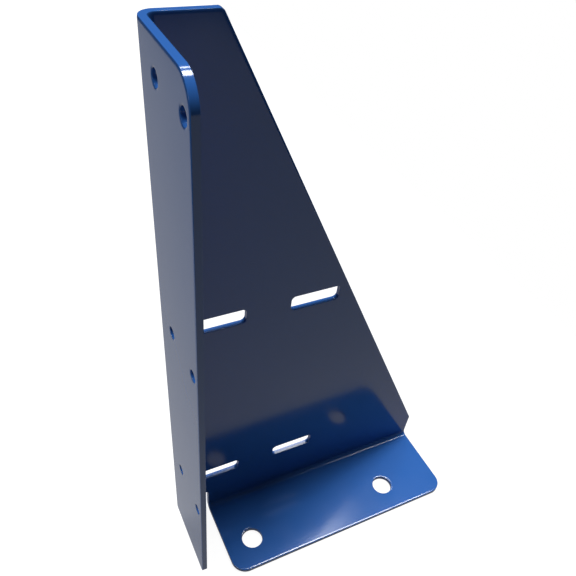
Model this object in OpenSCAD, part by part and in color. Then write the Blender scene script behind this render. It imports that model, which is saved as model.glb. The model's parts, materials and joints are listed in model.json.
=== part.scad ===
// Folded sheet-steel corner bracket, cut and bent from one flat blank.
// An upright web with a sloping free edge carries two flanges that are folded
// forward: a tall one down its left edge and a low one along its foot. The corner
// where the two folds would meet is cut away, so that the sheet can be bent.
// Working corner: x = 0 is the side flange's outer face, y = 0 the web's back face,
// z = 0 the base flange's underside, and both flanges point towards -y.

/* [Sheet] */
// Thickness of the sheet
sheet_t = 3; // [1.5:0.5:5]
// Inside radius of both folds
fold_r = 3; // [1:0.5:6]

/* [Web] */
// Overall height, from the base flange's underside to the top edge
web_h = 300; // [220:5:400]
// Overall width at the foot, from the side flange's outer face to the far end
web_w = 176; // [150:2:240]
// Width at the top, from the side flange's outer face to the sloping edge
web_top_w = 27.5; // [18:0.5:70]
// Height of the short upright edge at the far end, where the sloping edge starts
web_end_h = 22; // [14:1:60]
// Corner radius at the upper end of the sloping edge
web_top_r = 2; // [0.5:0.5:6]
// Corner radius at the lower end of the sloping edge
web_end_r = 3; // [0.5:0.5:8]

/* [Side flange] */
// Distance of its free edge behind the base flange's free edge
side_setback = 3; // [0:0.5:10]
// Radius of the upper free corner
side_top_r = 10; // [1:0.5:14]
// Radius of the lower free corner
side_low_r = 2.5; // [0.5:0.5:14]

/* [Base flange] */
// Depth of the base flange, from the web's back face to its free edge
base_depth = 53; // [45:1:90]
// Radius of both free corners
base_corner_r = 9; // [1:0.5:14]

/* [Corner relief] */
// Width cut away: the base flange starts this far from the side flange's outer face
relief_w = 21; // [12:0.5:30]
// Height cut away: the side flange starts this far above the base flange's underside
relief_h = 20; // [12:0.5:28]
// Radius of the inner corner of the cut in the web
relief_r = 2; // [0.5:0.5:4]

/* [Web slots] */
// Length of a slot from end to end
slot_l = 28; // [16:1:32]
// Width of a slot
slot_w = 9; // [5:0.5:12]
// Centres of the inner column, from the side flange's outer face
slot_inset = 27.5; // [27:0.5:34]
// Metal left between the outer upper slot's end and the sloping edge, level with its centre
slot_land = 6.5; // [4:0.5:12]
// Centres of the lower row, from the base flange's underside
slot_rise = 40.5; // [36:0.5:50]
// Centres of the upper row, from the top edge
slot_drop = 133; // [115:1:150]

/* [Side flange holes] */
// Diameter of a hole
side_hole_d = 5.5; // [4:0.5:9]
// Rows of holes, evenly spaced
side_hole_rows = 3; // [2:1:5]
// Centres of the outer column, from the flange's free edge
side_hole_edge = 5.5; // [5:0.5:12]
// Centres of the inner column, from the web's back face
side_hole_inset = 19.5; // [14:0.5:22]
// Centres of the top row, from the top edge
side_hole_drop = 12; // [8:0.5:30]
// Centres of the bottom row, from the flange's lower edge
side_hole_rise = 63; // [10:1:80]

/* [Base flange holes] */
// Diameter of a hole
base_hole_d = 13; // [6:0.5:16]
// Centres from the flange's free edge
base_hole_edge = 18; // [11:0.5:26]
// Centre of the left hole, from the flange's left end
base_hole_left = 17.5; // [12:0.5:40]
// Centre of the right hole, from the flange's right end
base_hole_right = 39.5; // [12:0.5:60]

/* [Hidden] */
round_fn = 96;
coat_colour = "#2f66b5";

// Outer radius of a fold, which is also where the flat sheet starts again
fold_out_r = fold_r + sheet_t;
// Depth of the side flange, from the web's back face to its free edge
side_depth = base_depth - side_setback;
// Length of the base flange and its fold
base_len = web_w - relief_w;
// Height of the side flange and its fold
side_len = web_h - relief_h;

// Distance of the sloping edge from the side flange's outer face, at height z
function slope_x(z) = web_top_w + (web_w - web_top_w) * (web_h - z) / (web_h - web_end_h);

slot_high_z = web_h - slot_drop;
slot_outer_x = slope_x(slot_high_z) - slot_land - slot_l / 2;

side_hole_low_z = relief_h + side_hole_rise;
side_hole_pitch = (web_h - side_hole_drop - side_hole_low_z) / (side_hole_rows - 1);

base_hole_first_x = relief_w + base_hole_left;
base_hole_last_x = web_w - base_hole_right;

function unit(v) = v / norm(v);
function cross_z(u, v) = u[0] * v[1] - u[1] * v[0];

// The pointed piece between two edges that meet at corner and the arc that rounds them
module corner_piece(corner, before, after, r) {
    u = unit(before - corner);
    v = unit(after - corner);
    half = acos(u * v) / 2;
    centre = corner + unit(u + v) * r / sin(half);
    reach = r / tan(half);
    difference() {
        polygon([corner, corner + u * reach, centre, corner + v * reach]);
        translate(centre) circle(r, $fn = round_fn);
    }
}

// Outline through points, anticlockwise, with a radius at each corner (0 leaves it sharp)
module rounded_outline(points, radii) {
    n = len(points);
    module corner(i) {
        corner_piece(points[i], points[(i + n - 1) % n], points[(i + 1) % n], radii[i]);
    }
    function turn(i) = cross_z(points[i] - points[(i + n - 1) % n], points[(i + 1) % n] - points[i]);
    difference() {
        union() {
            polygon(points);
            for (i = [0 : n - 1]) if (radii[i] > 0 && turn(i) < 0) corner(i);
        }
        for (i = [0 : n - 1]) if (radii[i] > 0 && turn(i) > 0) corner(i);
    }
}

// Slot with round ends, lying along x
module slot_outline(length, width) {
    square([length - width, width], center = true);
    for (side = [-1, 1]) translate([side * (length - width) / 2, 0]) circle(d = width, $fn = round_fn);
}

// Web seen from the front, x across and z up, from the side fold's end to the far edge
module web_outline() {
    difference() {
        rounded_outline(
            [
                [fold_out_r, relief_h],
                [relief_w, relief_h],
                [relief_w, fold_out_r],
                [web_w, fold_out_r],
                [web_w, web_end_h],
                [web_top_w, web_h],
                [fold_out_r, web_h]
            ],
            [0, relief_r, 0, 0, web_end_r, web_top_r, 0]
        );
        for (x = [slot_inset, slot_outer_x], z = [slot_rise, slot_high_z])
            translate([x, z]) slot_outline(slot_l, slot_w);
    }
}

// Side flange seen from its outer side, depth across and z up, from its fold's end
module side_outline() {
    difference() {
        rounded_outline(
            [[fold_out_r, relief_h], [side_depth, relief_h], [side_depth, web_h], [fold_out_r, web_h]],
            [0, side_low_r, side_top_r, 0]
        );
        for (across = [side_hole_inset, side_depth - side_hole_edge], row = [0 : side_hole_rows - 1])
            translate([across, side_hole_low_z + row * side_hole_pitch])
                circle(d = side_hole_d, $fn = round_fn);
    }
}

// Base flange seen from above, x across and depth as -y, from its fold's end
module base_outline() {
    difference() {
        rounded_outline(
            [[relief_w, -fold_out_r], [relief_w, -base_depth], [web_w, -base_depth], [web_w, -fold_out_r]],
            [0, base_corner_r, base_corner_r, 0]
        );
        for (x = [base_hole_first_x, base_hole_last_x])
            translate([x, base_hole_edge - base_depth]) circle(d = base_hole_d, $fn = round_fn);
    }
}

// A quarter turn of the sheet about the z axis, from the +x side to the +y side
module fold(length) {
    rotate_extrude(angle = 90, $fn = round_fn) translate([fold_r, 0]) square([sheet_t, length]);
}

module web() {
    rotate([90, 0, 0]) linear_extrude(sheet_t) web_outline();
}

module side_flange() {
    rotate([90, 0, -90]) mirror([0, 0, 1]) linear_extrude(sheet_t) side_outline();
    translate([fold_out_r, -fold_out_r, relief_h]) rotate([0, 0, 90]) fold(side_len);
}

module base_flange() {
    linear_extrude(sheet_t) base_outline();
    translate([relief_w, -fold_out_r, fold_out_r]) rotate([0, 90, 0]) fold(base_len);
}

module bracket() {
    color(coat_colour) translate([-web_w / 2, base_depth / 2, 0]) {
        web();
        side_flange();
        base_flange();
    }
}

bracket();
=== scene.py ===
# %% [markdown]
# # A folded sheet-steel bracket in blue powder coat
#
# The real bracket starts as one flat blank of 3 mm sheet. A press punches its outline, holes and
# slots, folds two edges forward, and then a glossy blue powder is sprayed on and baked.
# This script repeats those steps in the same order: it draws the blank, opens the holes, folds
# the two flanges, and then gives the surface its finish and the studio its light.
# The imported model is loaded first. It is the fixed frame: everything is placed from its box and
# from the bolt patterns that its record states, so nothing has to be fitted afterwards.

# %% Load the frame
import json
import math

import bpy
import numpy as np
from mathutils import Euler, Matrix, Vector
from mathutils.geometry import delaunay_2d_cdt


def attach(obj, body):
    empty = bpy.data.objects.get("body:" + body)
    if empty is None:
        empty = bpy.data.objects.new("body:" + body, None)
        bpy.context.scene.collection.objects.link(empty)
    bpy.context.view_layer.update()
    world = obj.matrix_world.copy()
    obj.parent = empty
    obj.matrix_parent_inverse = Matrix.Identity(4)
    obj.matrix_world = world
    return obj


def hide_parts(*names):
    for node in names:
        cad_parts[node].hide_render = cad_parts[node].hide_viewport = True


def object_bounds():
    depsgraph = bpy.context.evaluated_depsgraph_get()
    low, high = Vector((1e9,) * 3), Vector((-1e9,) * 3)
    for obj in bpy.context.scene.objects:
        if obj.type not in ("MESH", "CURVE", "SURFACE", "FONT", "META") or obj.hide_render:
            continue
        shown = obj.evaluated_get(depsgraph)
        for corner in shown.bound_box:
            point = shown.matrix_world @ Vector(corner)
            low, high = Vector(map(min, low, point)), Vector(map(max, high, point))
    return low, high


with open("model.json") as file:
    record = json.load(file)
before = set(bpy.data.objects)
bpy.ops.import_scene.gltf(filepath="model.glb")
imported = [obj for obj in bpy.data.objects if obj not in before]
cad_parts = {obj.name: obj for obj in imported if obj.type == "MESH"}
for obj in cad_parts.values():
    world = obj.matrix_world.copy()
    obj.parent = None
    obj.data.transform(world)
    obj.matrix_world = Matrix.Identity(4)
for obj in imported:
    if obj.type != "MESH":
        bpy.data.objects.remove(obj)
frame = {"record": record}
cad_low, cad_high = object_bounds()
print("packed box, mm:", [round(1000 * side, 2) for side in cad_high - cad_low])

# %% [markdown]
# ## The sizes
#
# Lengths are millimetres until a mesh is written, as on the drawing of the real part. The overall
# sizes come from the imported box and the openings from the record's bolt patterns. The rest are
# the same driving sizes as in the part's source. Two things are new here. The rounding of the
# cut edges is too fine for the plain solid, and yet it catches the light along every edge. The
# slots have the tighter corners that the photograph shows.

# %% Sizes
MM = 0.001
sheet_t = 3.0
fold_inner_r = 3.0
fold_outer_r = fold_inner_r + sheet_t

left = cad_low.x / MM
back = cad_high.y / MM
web_w = (cad_high.x - cad_low.x) / MM
web_h = (cad_high.z - cad_low.z) / MM
base_depth = (cad_high.y - cad_low.y) / MM
side_setback = 3.0
side_depth = base_depth - side_setback
web_top_w = 27.5
web_end_h = 22.0
relief_w = 21.0
relief_h = 20.0

relief_r = 2.0
web_top_r = 2.0
web_end_r = 3.0
side_top_r = 10.0
side_low_r = 2.5
base_corner_r = 9.0

# A slot's corner radius, and what half its length and half its width lose against the solid
slot_r = 2.4
slot_trim = (0.5, 0.2)

# Punching, deburring and the coat round every cut edge: the face starts to fall this far from
# the cut, and it falls by this much before the upright wall begins
roll_in = 1.2
roll_down = 0.22
roll_steps = 8

# How finely arcs, folds and the quarter circles round an opening are divided
arc_step = math.radians(4.0)
fold_steps = 18
quarter_steps = 12

# Points nearer than this, in mm, are one point
same_place = 1e-6

# Length of sheet that a fold takes up, measured half way through the sheet
fold_angle = math.radians(90)
fold_len = fold_angle * (fold_inner_r + sheet_t / 2)


def unfolded(depth):
    """Where a point at this depth on a flange lies on the flat blank, measured from the corner."""
    return 2 * fold_outer_r - fold_len - depth


print("blank, mm:", round(web_w - unfolded(side_depth), 1), "x", round(web_h - unfolded(base_depth), 1))

# %% [markdown]
# ## The blank's outline
#
# A punched outline is made of straight runs and arcs. It could be drawn as a curve, but a path
# of plain points is easier to fold later. It is written as on the drawing, as its corners with
# a radius at each, and one function turns a corner into its arc. Every point also keeps the
# direction that points out of the metal. With that, the rounded edge is only the same path
# drawn again a little further in, with no boolean and no bevel that could fail.

# %% Outline of the blank
def rounded_path(corners):
    """Points and outward directions of an anticlockwise path of (u, v, radius) corners."""
    spots = [np.array(c[:2], float) for c in corners]
    points, outward = [], []
    for i, radius in enumerate(c[2] for c in corners):
        here, before, after = spots[i], spots[i - 1], spots[(i + 1) % len(spots)]
        to_before = (before - here) / np.linalg.norm(before - here)
        to_after = (after - here) / np.linalg.norm(after - here)
        half = math.acos(np.clip(to_before @ to_after, -1, 1)) / 2
        middle = (to_before + to_after) / np.linalg.norm(to_before + to_after)
        centre = here + middle * radius / math.sin(half)
        turn = to_after[0] * to_before[1] - to_after[1] * to_before[0]
        sign = 1.0 if turn > 0 else -1.0
        start = here + to_before * radius / math.tan(half) - centre
        sweep = sign * (math.pi - 2 * half)
        first = math.atan2(start[1], start[0])
        steps = max(2, math.ceil(abs(sweep) / arc_step))
        for k in range(steps + 1):
            angle = first + sweep * k / steps
            ray = np.array([math.cos(angle), math.sin(angle)])
            points.append(centre + radius * ray)
            outward.append(sign * ray)
    return np.array(points), np.array(outward)


# %% [markdown]
# The sheet can only bend where it has points. The lines across which the folds bend it are
# called stations here, and the outline gets a point wherever it crosses one.

# %% Fold stations
def split_at(points, outward, axis, stations):
    """Adds a point wherever a straight run of the path crosses one of the fold's stations."""
    new_points, new_outward = [], []
    for i in range(len(points)):
        a, b = points[i], points[(i + 1) % len(points)]
        new_points.append(a)
        new_outward.append(outward[i])
        crossed = [s for s in stations if (a[axis] - s) * (b[axis] - s) < 0]
        for station in sorted(crossed, reverse=a[axis] > b[axis]):
            share = (station - a[axis]) / (b[axis] - a[axis])
            new_points.append(a + (b - a) * share)
            new_outward.append(outward[i])
    return np.array(new_points), np.array(new_outward)


side_free = unfolded(side_depth)
base_free = unfolded(base_depth)
outline, outline_out = rounded_path([
    (relief_w, relief_h, relief_r),
    (relief_w, base_free, base_corner_r),
    (web_w, base_free, base_corner_r),
    (web_w, web_end_h, web_end_r),
    (web_top_w, web_h, web_top_r),
    (side_free, web_h, side_top_r),
    (side_free, relief_h, side_low_r),
])
fold_stations = [fold_outer_r - fold_len * k / fold_steps for k in range(fold_steps + 1)]
for axis in (0, 1):
    outline, outline_out = split_at(outline, outline_out, axis, fold_stations)
print("outline points:", len(outline))

# %% [markdown]
# ## The openings
#
# The record states each bolt pattern: its centre, its spacings and the radius or the slot's
# length. Twelve openings follow from four patterns. The solid has slots with round ends, as a
# bolt needs them. In the photograph the corners are tighter and the ends a little nearer, so
# the dressed sheet has its own corner radius and a trim, along and across. The trim across
# makes up for the rounded edges, through which the eye sees a wider opening.

# %% Openings from the record's bolt patterns
mounts = {m["name"]: m for m in frame["record"]["mounts"]}


def pattern(name, rows):
    """A bolt pattern's centres in mm, each with its shape; rows gives each spacing's axis."""
    mount = mounts[name]
    centres = [np.array(mount["pos_m"], float) / MM]
    for key, axis in rows:
        shift = np.zeros(3)
        shift[axis] = mount["dims"][key] / 2
        centres = [c + sign * shift for c in centres for sign in (-1, 1)]
    half_width = mount["dims"]["hole_r_mm"]
    half_length, corner = half_width, half_width
    if "slot_length_mm" in mount["dims"]:
        half_length, corner = mount["dims"]["slot_length_mm"] / 2 - slot_trim[0], slot_r
        half_width -= slot_trim[1]
    return [(c, (corner, half_length - corner, half_width - corner)) for c in centres]


openings = []
for c, shape in pattern("web_slots", [("spacing_x_mm", 0), ("spacing_y_mm", 2)]):
    openings.append((c[0] - left, c[2], *shape))
side_patterns = pattern("side_bolts", [("spacing_x_mm", 1), ("spacing_y_mm", 2)])
for c, shape in side_patterns + pattern("side_bolts_middle", [("spacing_x_mm", 1)]):
    openings.append((unfolded(back - c[1]), c[2], *shape))
for c, shape in pattern("base_bolts", [("spacing_x_mm", 0)]):
    openings.append((c[0] - left, unfolded(back - c[1]), *shape))
print("openings:", len(openings))

# %% [markdown]
# A round hole and a slot are the same rule: four quarter circles, pulled apart along and across
# the slot, and not at all for a hole. Two shapes from one rule need only one rim later on.

# %% Opening paths
def quarter_circles():
    """(direction, corner) round an opening; the corner is the way in which its quarter is pulled."""
    for quarter, corner in enumerate([(1, 1), (-1, 1), (-1, -1), (1, -1)]):
        for k in range(quarter_steps + 1):
            angle = math.radians(90 * (quarter + k / quarter_steps))
            yield np.array([math.cos(angle), math.sin(angle)]), np.array(corner)


def opening_path(u, v, radius, along, across, grow):
    """An opening's points, drawn larger by grow, with no double points on a round hole."""
    path = [np.array([u, v]) + ray * (radius + grow) + corner * (along, across)
            for ray, corner in quarter_circles()]
    apart = [np.linalg.norm(p - path[i - 1]) > same_place for i, p in enumerate(path)]
    return np.array(path)[apart]


print("points round an opening:", [len(opening_path(*o, grow=0.0)) for o in openings])

# %% [markdown]
# ## The rounded cut edge
#
# Seen across, a cut edge is a quarter of a flat ellipse, the upright wall, and the same quarter
# again at the back. A bevel modifier could round it, but it knows only circles and would round
# the folds too. So the edge is a list of rings, each with its place and the way it faces.

# %% Edge profile
def edge_profile():
    """Rings across a cut edge, front to back: (inset, depth behind the front, out, forward)."""
    front = []
    for k in range(roll_steps + 1):
        turn = math.radians(90 * k / roll_steps)
        out, forward = roll_down * math.sin(turn), roll_in * math.cos(turn)
        size = math.hypot(out, forward)
        front.append((roll_in * (1 - math.sin(turn)), roll_down * (1 - math.cos(turn)),
                      out / size, forward / size))
    rear = [(inset, sheet_t - behind, out, -forward) for inset, behind, out, forward in front]
    return front + rear[::-1]


print("rings across an edge:", len(edge_profile()))

# %% [markdown]
# ## The flat faces
#
# Front and back of the blank are the same flat figure. A constrained triangulation fills it
# inside the outline, and it keeps the fold stations as edges, so the sheet has something to
# bend along. It fills the openings too, so every triangle in one of them is dropped. An opening
# bulges outwards everywhere, so a spot is in it if it lies to the left of all of its sides.

# %% Flat figure
FILL_INSIDE = 1
fill_tolerance = 1e-7


def left_of_all(spots, path):
    """For each spot, whether it lies inside this anticlockwise path that bulges everywhere."""
    side = np.roll(path, -1, axis=0) - path
    to_spot = spots[:, None, :] - path[None, :, :]
    turn = side[None, :, 0] * to_spot[:, :, 1] - side[None, :, 1] * to_spot[:, :, 0]
    return (turn > 0).all(axis=1)


def flat_figure():
    """The flat face's points and triangles, inside the rounded edges."""
    loops = [outline - outline_out * roll_in]
    loops += [opening_path(*opening, grow=roll_in) for opening in openings]
    points, edges = [], []
    for loop in loops:
        start = len(points)
        points += [Vector(p) for p in loop]
        edges += [(start + i, start + (i + 1) % len(loop)) for i in range(len(loop))]
    for axis in (0, 1):
        for station in fold_stations:
            on_station = [abs(p[axis] - station) < same_place for p in points[:len(loops[0])]]
            edges.append(tuple(int(i) for i in np.flatnonzero(on_station)))
    done, _, faces, *_ = delaunay_2d_cdt(points, edges, [], FILL_INSIDE, fill_tolerance)
    done, faces = np.array(done), np.array(faces)
    centres_of = done[faces].mean(axis=1)
    for loop in loops[1:]:
        kept = ~left_of_all(centres_of, loop)
        faces, centres_of = faces[kept], centres_of[kept]
    return done, faces.tolist()


print("flat triangles:", len(flat_figure()[1]))

# %% [markdown]
# ## The blank as a mesh
#
# The blank lies in the web's own plane, so the web is in its final place from the start. Two
# flat faces and a strip of rings close it, all but the openings. Each point stores the way it
# faces, because the folded sheet takes its shading from that and not from its small triangles.

# %% Mesh helpers
def place(uv, behind):
    """Blank coordinates in mm to metres in the row frame, this far behind the front face."""
    return (left + uv[0], back - sheet_t + behind, uv[1])


def mesh_object(name, points, faces, attributes=()):
    """A mesh object from points in mm, with its named point attributes."""
    mesh = bpy.data.meshes.new(name)
    mesh.from_pydata([tuple(MM * x for x in p) for p in points], [], faces)
    for key, kind, values in attributes:
        field = "vector" if kind == "FLOAT_VECTOR" else "value"
        layer = mesh.attributes.new(key, kind, "POINT")
        layer.data.foreach_set(field, np.array(values, np.float32).ravel())
    made = bpy.data.objects.new(name, mesh)
    bpy.context.scene.collection.objects.link(made)
    return made


# %% Blank mesh
def blank_mesh():
    """The flat blank with its rounded outer edge, open where the rims go in."""
    figure, triangles = flat_figure()
    points = [place(p, 0) for p in figure] + [place(p, sheet_t) for p in figure]
    normals = [(0, -1, 0)] * len(figure) + [(0, 1, 0)] * len(figure)
    faces = [list(t) for t in triangles] + [[i + len(figure) for i in t[::-1]] for t in triangles]
    count = len(outline)
    rings = edge_profile()
    start = len(points)
    for inset, behind, out, forward in rings:
        for p, n in zip(outline, outline_out):
            points.append(place(p - n * inset, behind))
            normals.append((n[0] * out, -forward, n[1] * out))
    for r in range(len(rings) - 1):
        for i in range(count):
            a, b = start + r * count + i, start + r * count + (i + 1) % count
            faces.append([a, a + count, b + count, b])
    return mesh_object("blank", points, faces, [("facing", "FLOAT_VECTOR", normals)])


blank = blank_mesh()
print("blank mesh:", len(blank.data.vertices), "points,", len(blank.data.polygons), "faces")

# %% [markdown]
# ## The rim that every opening repeats
#
# All twelve openings have the same cut wall with the same rounded edges. One rim is drawn for
# an opening of no size, its four quarter circles all round one point. Geometry Nodes set a copy
# on every centre, push it outwards by that opening's radius, and pull its quarters apart. The
# centres are loose points that carry the radius and the pull.

# %% Rim and centres
def rim_mesh():
    """The cut wall of an opening of no size, with the ways in which it grows and is pulled."""
    points, normals, away, corners, faces = [], [], [], [], []
    around = list(quarter_circles())
    rings = edge_profile()
    for inset, behind, out, forward in rings:
        for ray, corner in around:
            points.append((ray[0] * inset, behind - sheet_t, ray[1] * inset))
            normals.append((-ray[0] * out, -forward, -ray[1] * out))
            away.append((ray[0], 0, ray[1]))
            corners.append((corner[0], 0, corner[1]))
    for r in range(len(rings) - 1):
        for i in range(len(around)):
            a, b = r * len(around) + i, r * len(around) + (i + 1) % len(around)
            faces.append([a, b, b + len(around), a + len(around)])
    return mesh_object("rim", points, faces, [
        ("facing", "FLOAT_VECTOR", normals), ("away", "FLOAT_VECTOR", away),
        ("corner", "FLOAT_VECTOR", corners)])


rim = rim_mesh()
centres = mesh_object(
    "centres", [(left + u, back, v) for u, v, _, _, _ in openings], [],
    [("radius", "FLOAT", [MM * radius for _, _, radius, _, _ in openings]),
     ("pull", "FLOAT_VECTOR", [(MM * along, 0, MM * across) for _, _, _, along, across in openings])])
print("rim faces:", len(rim.data.polygons))

# %% [markdown]
# ## One helper for every node
#
# Node trees are long to write out. This one function adds a node, sets its properties, and
# fills or links its inputs, for geometry and for materials alike.

# %% Node helper
def add(tree, kind, inputs=None, **settings):
    """Adds a node of this kind. Each input is a value, or a socket to link from."""
    node = tree.nodes.new(kind)
    for key, value in settings.items():
        setattr(node, key, value)
    for key, value in (inputs or {}).items():
        if isinstance(value, bpy.types.NodeSocket):
            tree.links.new(value, node.inputs[key])
        else:
            node.inputs[key].default_value = value
    return node


def new_tree(name, sockets):
    """A geometry node tree with these named inputs, and a geometry output."""
    tree = bpy.data.node_groups.new(name, "GeometryNodeTree")
    tree.interface.new_socket("Geometry", in_out="OUTPUT", socket_type="NodeSocketGeometry")
    for title, kind in sockets:
        tree.interface.new_socket(title, in_out="INPUT", socket_type="NodeSocket" + kind)
    return tree, tree.nodes.new("NodeGroupInput").outputs, tree.nodes.new("NodeGroupOutput").inputs


# %% [markdown]
# ## The press: a fold as a rule
#
# A press brake bends a strip of the sheet round a radius and swings what lies beyond it. As a
# rule: the distance past the fold line gives an angle up to 90 degrees, the strip lies on an arc
# of that angle, and the rest of the flange goes straight on. The same small tree folds both
# flanges, each with its own direction. It turns the stored surface directions as well, so the
# folded sheet shades like a smooth bend and not like a row of flats. The rule is long, so it is
# first written as a table of small steps, and one loop makes a node of each.

# %% Steps of a fold
NUMBER = "ShaderNodeMath"
VECTOR = "ShaderNodeVectorMath"
REAR = (0.0, 1.0, 0.0)

# Each step: the result's name, the kind of node, its operation, and its two inputs
bend = [
    ("from corner", VECTOR, "SUBTRACT", "place", "Corner"),
    ("reach", VECTOR, "DOT_PRODUCT", "from corner", "Direction"),
    ("past", NUMBER, "ADD", "reach", "Outer Radius"),
    ("share", NUMBER, "DIVIDE", "past", "Fold Length"),
    ("share", NUMBER, "MAXIMUM", "share", 0.0),
    ("share", NUMBER, "MINIMUM", "share", 1.0),
    ("angle", NUMBER, "MULTIPLY", "share", fold_angle),
    ("sine", NUMBER, "SINE", "angle", 0.0),
    ("cosine", NUMBER, "COSINE", "angle", 0.0),
    ("depth", VECTOR, "DOT_PRODUCT", "from corner", REAR),
    ("radius", NUMBER, "ADD", "Outer Radius", "depth"),
]
move = [
    ("on arc", NUMBER, "MULTIPLY", "radius", "sine"),
    ("before", NUMBER, "MINIMUM", "past", 0.0),
    ("new past", NUMBER, "ADD", "before", "on arc"),
    ("beyond", NUMBER, "SUBTRACT", "past", "Fold Length"),
    ("beyond", NUMBER, "MAXIMUM", "beyond", 0.0),
    ("new depth", NUMBER, "MULTIPLY", "radius", "cosine"),
    ("new depth", NUMBER, "SUBTRACT", "new depth", "Outer Radius"),
    ("new depth", NUMBER, "SUBTRACT", "new depth", "beyond"),
    ("shift out", NUMBER, "SUBTRACT", "new past", "past"),
    ("shift out", VECTOR, "MULTIPLY", "Direction", "shift out"),
    ("shift back", NUMBER, "SUBTRACT", "new depth", "depth"),
    ("shift back", VECTOR, "MULTIPLY", REAR, "shift back"),
    ("shift", VECTOR, "ADD", "shift out", "shift back"),
]
turn = [
    ("back part", VECTOR, "DOT_PRODUCT", "facing", REAR),
    ("out part", VECTOR, "DOT_PRODUCT", "facing", "Direction"),
    ("back kept", NUMBER, "MULTIPLY", "back part", "cosine"),
    ("back lost", NUMBER, "MULTIPLY", "out part", "sine"),
    ("new back", NUMBER, "SUBTRACT", "back kept", "back lost"),
    ("out kept", NUMBER, "MULTIPLY", "out part", "cosine"),
    ("out won", NUMBER, "MULTIPLY", "back part", "sine"),
    ("new out", NUMBER, "ADD", "out kept", "out won"),
    ("more back", NUMBER, "SUBTRACT", "new back", "back part"),
    ("more back", VECTOR, "MULTIPLY", REAR, "more back"),
    ("more out", NUMBER, "SUBTRACT", "new out", "out part"),
    ("more out", VECTOR, "MULTIPLY", "Direction", "more out"),
    ("new facing", VECTOR, "ADD", "facing", "more back"),
    ("new facing", VECTOR, "ADD", "new facing", "more out"),
]
print("steps of a fold:", len(bend + move + turn))


# %% Fold tree
def fold_tree():
    """Bends what lies past a corner line round its radius, and turns the stored directions."""
    tree, given, out = new_tree("fold the sheet", [
        ("Geometry", "Geometry"), ("Corner", "Vector"), ("Direction", "Vector"),
        ("Outer Radius", "Float"), ("Fold Length", "Float")])
    known = {socket.name: socket for socket in given if socket.name}
    known["place"] = add(tree, "GeometryNodeInputPosition").outputs[0]
    known["facing"] = add(tree, "GeometryNodeInputNamedAttribute", {
        "Name": "facing"}, data_type="FLOAT_VECTOR").outputs["Attribute"]
    for name, kind, operation, *inputs in bend + move + turn:
        values = {i: known.get(value, value) for i, value in enumerate(inputs)}
        node = add(tree, kind, values, operation=operation)
        known[name] = next(socket for socket in node.outputs if socket.enabled)
    stored = add(tree, "GeometryNodeStoreNamedAttribute", {
        "Geometry": given["Geometry"], "Name": "facing", "Value": known["new facing"]},
        data_type="FLOAT_VECTOR", domain="POINT")
    moved = add(tree, "GeometryNodeSetPosition", {
        "Geometry": stored.outputs["Geometry"], "Offset": known["shift"]})
    tree.links.new(moved.outputs["Geometry"], out["Geometry"])
    return tree


fold = fold_tree()
print("fold tree:", len(fold.nodes), "nodes")

# %% [markdown]
# ## Punch first, then fold
#
# The order is the workshop's. The rims are set into the flat blank and welded to it, and only
# then does the sheet go through the two folds, so the holes bend along with what they are in.
# Inside a fold the surface directions are turned before the points move, because both are
# worked out from where the point lay on the flat blank.

# %% Bracket tree
def bracket_tree(fold):
    """Sets a rim on every centre, welds it to the blank and folds the sheet twice."""
    tree, given, out = new_tree("punch and fold", [
        ("Geometry", "Geometry"), ("Centres", "Object"), ("Rim", "Object"), ("Corner", "Vector"),
        ("Outer Radius", "Float"), ("Fold Length", "Float"), ("Weld", "Float"), ("Finish", "Material")])
    spots = add(tree, "GeometryNodeObjectInfo", {"Object": given["Centres"]}).outputs["Geometry"]
    one_rim = add(tree, "GeometryNodeObjectInfo", {"Object": given["Rim"]}).outputs["Geometry"]
    copies = add(tree, "GeometryNodeInstanceOnPoints", {"Points": spots, "Instance": one_rim})
    rims = add(tree, "GeometryNodeRealizeInstances", {"Geometry": copies.outputs["Instances"]})
    stored = {}
    for name in ("away", "radius", "corner", "pull"):
        kind = "FLOAT" if name == "radius" else "FLOAT_VECTOR"
        node = add(tree, "GeometryNodeInputNamedAttribute", {"Name": name}, data_type=kind)
        stored[name] = node.outputs["Attribute"]
    grow = add(tree, VECTOR, {0: stored["away"], 1: stored["radius"]}, operation="MULTIPLY")
    pull = add(tree, VECTOR, {0: stored["corner"], 1: stored["pull"]}, operation="MULTIPLY")
    both = add(tree, VECTOR, {0: grow.outputs["Vector"], 1: pull.outputs["Vector"]}, operation="ADD")
    opened = add(tree, "GeometryNodeSetPosition", {
        "Geometry": rims.outputs["Geometry"], "Offset": both.outputs["Vector"]})
    joined = add(tree, "GeometryNodeJoinGeometry")
    tree.links.new(given["Geometry"], joined.inputs[0])
    tree.links.new(opened.outputs["Geometry"], joined.inputs[0])
    sheet = add(tree, "GeometryNodeMergeByDistance", {
        "Geometry": joined.outputs["Geometry"], "Distance": given["Weld"]})
    for direction in ((-1.0, 0.0, 0.0), (0.0, 0.0, -1.0)):
        sheet = add(tree, "GeometryNodeGroup", {
            "Geometry": sheet.outputs["Geometry"], "Corner": given["Corner"], "Direction": direction,
            "Outer Radius": given["Outer Radius"], "Fold Length": given["Fold Length"]}, node_tree=fold)
    real = add(tree, "GeometryNodeRealizeInstances", {"Geometry": sheet.outputs["Geometry"]})
    coated = add(tree, "GeometryNodeSetMaterial", {
        "Geometry": real.outputs["Geometry"], "Material": given["Finish"]})
    tree.links.new(coated.outputs["Geometry"], out["Geometry"])
    return tree


press_tree = bracket_tree(fold)
print("bracket tree:", len(press_tree.nodes), "nodes")

# %% [markdown]
# ## Colours and sizes of a pattern
#
# Colours are written as they are seen, in sRGB hex, and one function makes them linear. A second
# one turns the width of a pattern on the real surface into a texture's scale.

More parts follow.
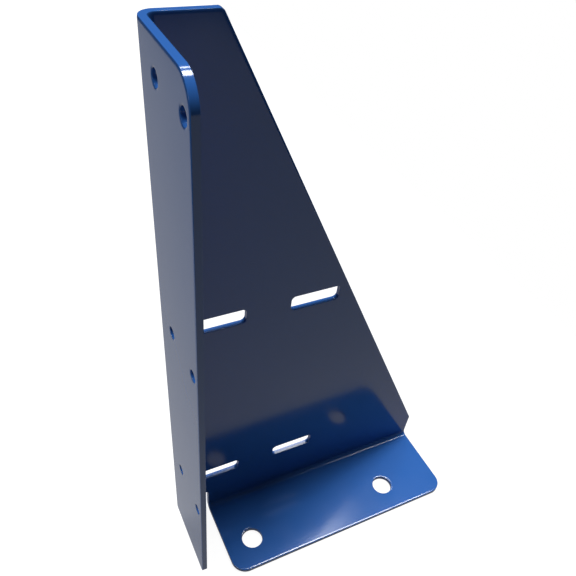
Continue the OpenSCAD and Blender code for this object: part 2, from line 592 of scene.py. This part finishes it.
# %% Finish helpers
def linear(hex_colour):
    """An sRGB hex colour as the linear RGBA that Blender's sockets take."""
    parts = [int(hex_colour[i:i + 2], 16) / 255 for i in (1, 3, 5)]
    curved = [p / 12.92 if p <= 0.04045 else ((p + 0.055) / 1.055) ** 2.4 for p in parts]
    return (*curved, 1.0)


def per_mm(size_mm):
    """Texture scale at which a noise cell measures this many millimetres."""
    return 1 / (size_mm * MM)


print("white in linear light:", linear("#FFFFFF"))

# %% [markdown]
# ## The finish: glossy powder coat
#
# Powder coat is a polyester paint, sprayed on as dry powder and baked until it flows together.
# To the eye it is a strong blue body colour under a clear, smooth skin, and the skin mirrors
# what stands near it: pale paper at a flat angle, the base flange in the web, and lamps as small
# white glints. A resin bends light by 1.5, and its low roughness gives the mirror its soft edge.
# Three noises on the object's own coordinates break it up. One is the slow drift in colour where
# the powder lies thicker, one the drift in gloss, and one the faint waviness called orange peel.

# %% Powder coat
coat_blue = "#3064AF"
coat_blue_deep = "#2C5FA8"
drift_width_mm = 45
gloss_width_mm = 14
coat_roughness = (0.115, 0.145)
coat_ior = 1.5

# The middle part of the noise that is spread over the whole range of roughness
gloss_noise = (0.3, 0.7)
peel_width_mm = 2.2
peel_height_mm = 0.002


def powder_coat():
    """The coat's material: a blue body colour under a smooth, clear skin."""
    material = bpy.data.materials.new("glossy blue powder coat")
    material.use_nodes = True
    tree = material.node_tree
    tree.nodes.clear()
    where = add(tree, "ShaderNodeTexCoord").outputs["Object"]
    cloud = add(tree, "ShaderNodeTexNoise", {
        "Vector": where, "Scale": per_mm(drift_width_mm), "Detail": 2.0, "Roughness": 0.5})
    shade = add(tree, "ShaderNodeMix", {
        "Factor": cloud.outputs[0], 6: linear(coat_blue_deep), 7: linear(coat_blue)}, data_type="RGBA")
    patches = add(tree, "ShaderNodeTexNoise", {
        "Vector": where, "Scale": per_mm(gloss_width_mm), "Detail": 2.0, "Roughness": 0.5})
    dullness = add(tree, "ShaderNodeMapRange", {
        "Value": patches.outputs[0], "From Min": gloss_noise[0], "From Max": gloss_noise[1],
        "To Min": coat_roughness[0], "To Max": coat_roughness[1]})
    peel = add(tree, "ShaderNodeTexNoise", {
        "Vector": where, "Scale": per_mm(peel_width_mm), "Detail": 1.0, "Roughness": 0.4})
    bump = add(tree, "ShaderNodeBump", {
        "Height": peel.outputs[0], "Strength": 1.0, "Distance": peel_height_mm * MM})
    shader = add(tree, "ShaderNodeBsdfPrincipled", {
        "Base Color": shade.outputs[2], "Roughness": dullness.outputs[0], "IOR": coat_ior,
        "Normal": bump.outputs[0]})
    add(tree, "ShaderNodeOutputMaterial", {"Surface": shader.outputs[0]})
    return material


coat = powder_coat()
print("finish:", coat.name)

# %% [markdown]
# ## Punch, fold and coat
#
# The inputs of a modifier are set by each socket's identifier, before the object is evaluated
# for the first time. The result is made a plain mesh and the modifier goes, so that what the
# scene holds is the folded sheet itself.

# %% Run the press
weld_mm = 0.005


def run_press(blank, tree, values):
    """Evaluates the tree on the blank and gives back its result as a plain mesh."""
    press = blank.modifiers.new("press", "NODES")
    press.node_group = tree
    for item in tree.interface.items_tree:
        if item.in_out == "INPUT" and item.name in values:
            press[item.identifier] = values[item.name]
    bpy.context.view_layer.update()
    graph = bpy.context.evaluated_depsgraph_get()
    mesh = bpy.data.meshes.new_from_object(blank.evaluated_get(graph))
    blank.modifiers.remove(press)
    return mesh


mesh = run_press(blank, press_tree, {
    "Centres": centres, "Rim": rim, "Corner": (MM * left, MM * back, 0.0),
    "Outer Radius": MM * fold_outer_r, "Fold Length": MM * fold_len,
    "Weld": MM * weld_mm, "Finish": coat})
print("folded sheet:", len(mesh.vertices), "points,", len(mesh.polygons), "faces")

# %% [markdown]
# The stored directions become the mesh's own normals. The faces are small triangles and long
# thin ones side by side, and normals worked out from them would show as faint creases. Then the
# piece is named, takes the place of the plain solid, and rides on the only body there is.

# %% Bracket
facing = np.zeros(len(mesh.vertices) * 3, np.float32)
mesh.attributes["facing"].data.foreach_get("vector", facing)
mesh.polygons.foreach_set("use_smooth", [True] * len(mesh.polygons))
mesh.normals_split_custom_set_from_vertices([Vector(n).normalized() for n in facing.reshape(-1, 3)])
for name in ("facing", "away", "corner", "radius", "pull"):
    if name in mesh.attributes:
        mesh.attributes.remove(mesh.attributes[name])
bracket = bpy.data.objects.new("bracket_sheet", mesh)
bpy.context.scene.collection.objects.link(bracket)
for helper in (blank, rim, centres):
    bpy.data.objects.remove(helper)
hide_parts("bracket")
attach(bracket, "root")
print("bracket, mm:", [round(1000 * side, 2) for side in bracket.dimensions])

# %% [markdown]
# ## The floor
#
# The studio floor is a sheet of pale paper, 0.65 m wide and 2 m long. The photograph's ground
# is pure white, and more light would only burn out the paint. So the camera sees the paper with
# most of a full white added, and the glossy coat mirrors it with a little added, which keeps
# the web a deep charcoal. The light that the paper throws back is that of its own grey alone.
# The shadow stays, because the lamps' light on the paper is still part of what is seen.

# %% Floor
paper_grey = "#787878"
white_for_camera = 0.93
white_for_gloss = 0.27


def studio_floor():
    """Grey paper that the camera sees as white and the coat mirrors as a paler grey."""
    material = bpy.data.materials.new("pale studio paper")
    material.use_nodes = True
    tree = material.node_tree
    tree.nodes.clear()
    ray = add(tree, "ShaderNodeLightPath").outputs
    mirrored = add(tree, "ShaderNodeMath", {
        0: ray["Is Glossy Ray"], 1: white_for_gloss}, operation="MULTIPLY")
    white = add(tree, "ShaderNodeMath", {
        0: ray["Is Camera Ray"], 1: white_for_camera, 2: mirrored.outputs[0]}, operation="MULTIPLY_ADD")
    paper = add(tree, "ShaderNodeBsdfDiffuse", {"Color": linear(paper_grey)})
    glow = add(tree, "ShaderNodeEmission", {"Color": (1, 1, 1, 1), "Strength": white.outputs[0]})
    both = add(tree, "ShaderNodeAddShader", {0: paper.outputs[0], 1: glow.outputs[0]})
    add(tree, "ShaderNodeOutputMaterial", {"Surface": both.outputs[0]})
    return material


paper_x = (-350, 300)
paper_y = (-900, 1100)
floor = mesh_object("floor", [
    (paper_x[0], paper_y[0], 0), (paper_x[1], paper_y[0], 0),
    (paper_x[1], paper_y[1], 0), (paper_x[0], paper_y[1], 0)], [[0, 1, 2, 3]])
floor.data.materials.append(studio_floor())
print("paper, mm:", paper_x[1] - paper_x[0], "x", paper_y[1] - paper_y[0])

# %% [markdown]
# ## The room
#
# Past the paper the camera sees plain white. Every other ray finds a dark room, because a glossy
# coat looks deep only when most of what it mirrors is dark.

# %% World
room_level = 0.03
world = bpy.data.worlds.new("dark studio")
world.use_nodes = True
bpy.context.scene.world = world
tree = world.node_tree
tree.nodes.clear()
seen = add(tree, "ShaderNodeLightPath").outputs["Is Camera Ray"]
room = add(tree, "ShaderNodeBackground", {"Color": (1, 1, 1, 1), "Strength": room_level})
white = add(tree, "ShaderNodeBackground", {"Color": (1, 1, 1, 1), "Strength": 1.0})
mixed = add(tree, "ShaderNodeMixShader", {0: seen, 1: room.outputs[0], 2: white.outputs[0]})
add(tree, "ShaderNodeOutputWorld", {"Surface": mixed.outputs[0]})
print("room level:", room_level)

# %% [markdown]
# ## The lamps
#
# In the photograph the base flange is bright blue at its right end and lies in the shadow of
# the other two walls at its left, and the web is nearly dark. So the light comes from overhead,
# almost along the web. The softbox overhead also makes the white glint on the side flange's
# corner, and the right one the bright lines along the base's near edge and its fold. The left
# one reaches only the right end, and a weak one low at the left lifts the side flange's blue.
# Behind the web, a flat strip whitens the lower walls of the slots, and a small softbox draws
# the pale streak across the base. Each lamp is given the level at which a white card facing it
# would be seen, where 1 is white, and its watts follow from that and the distance.

# %% Lamps
lamp_distance = 3500.0


def softbox(name, direction, level, size):
    """A softbox of this size in mm, in a direction from the bracket's foot."""
    lamp = bpy.data.lights.new(name, "AREA")
    lamp.shape = "RECTANGLE"
    lamp.size, lamp.size_y = (MM * side for side in size)
    lamp.energy = level * (math.pi * MM * lamp_distance) ** 2
    made = bpy.data.objects.new(name, lamp)
    towards = Vector(direction).normalized()
    made.location = towards * lamp_distance * MM
    made.rotation_euler = towards.to_track_quat("Z", "Y").to_euler()
    bpy.context.scene.collection.objects.link(made)
    print(name, "watts:", round(lamp.energy, 1))


# %% Place the lamps
softbox("softbox overhead", (0.23, 0.21, 0.95), 0.40, (720, 720))
softbox("softbox right", (0.41, 0.11, 0.90), 0.35, (700, 700))
softbox("softbox left", (-0.28, 0.08, 0.95), 0.46, (900, 900))
softbox("softbox low left", (-0.97, 0.0, 0.25), 0.11, (900, 900))
softbox("strip light behind", (0.255, 0.525, 0.81), 0.09, (760, 300))
softbox("small softbox", (0.30, 0.335, 0.89), 0.02, (400, 320))

# %% [markdown]
# ## The camera
#
# The photograph was taken from close by, from above and a little to the left, so the top is
# larger than the foot. The place, the tilt and the lens were solved from the bracket's edges and
# holes. The picture is also a crop that isn't centred on the lens, and a small upward shift of
# the sensor gives the same crop.

# %% Camera
camera_place = (-133.8, -160.3, 358.4)
camera_turn = (44.56, -5.23, -25.82)
sensor_width = 36.0
lens_length = 36.91

# A share of the sensor's width
framing_shift = 0.09

camera_data = bpy.data.cameras.new("camera")
camera_data.sensor_width = sensor_width
camera_data.lens = lens_length
camera_data.shift_y = framing_shift
camera_data.clip_start = 0.01
camera = bpy.data.objects.new("camera", camera_data)
camera.location = Vector(camera_place) * MM
camera.rotation_euler = Euler([math.radians(angle) for angle in camera_turn])
bpy.context.scene.collection.objects.link(camera)
bpy.context.scene.camera = camera
bpy.context.scene.view_settings.view_transform = "Standard"
print("camera to foot, mm:", round(camera.location.length / MM))
